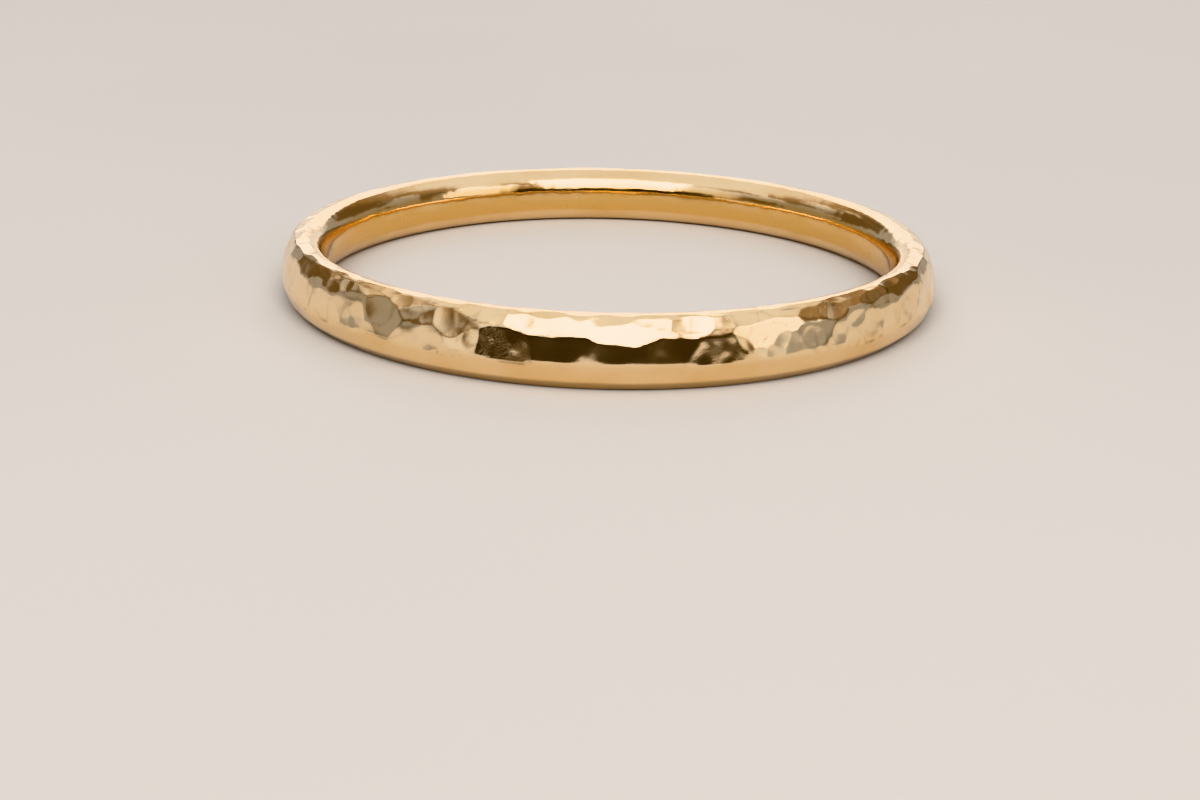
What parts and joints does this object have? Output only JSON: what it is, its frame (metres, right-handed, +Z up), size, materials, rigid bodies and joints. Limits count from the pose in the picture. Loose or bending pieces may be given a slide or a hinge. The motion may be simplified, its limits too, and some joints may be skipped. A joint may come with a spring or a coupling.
{
  "type": "hammered stacking ring",
  "caption": "Plain finger ring of yellow gold: a slim rounded band with a hand-hammered outer face and a smooth open finger hole, lying flat on its lower edge.",
  "frame": {"origin": "on the surface that the ring rests on, at the middle of the finger hole", "axes": "+Z up, along the finger hole; the front, where the band is widest, faces -Y"},
  "size_m": [0.0198, 0.0198, 0.0021],
  "materials": {
    "yellow_gold": null
  },
  "bodies": {
    "root": {"hammered_band": "yellow_gold"}
  },
  "joints": []
}
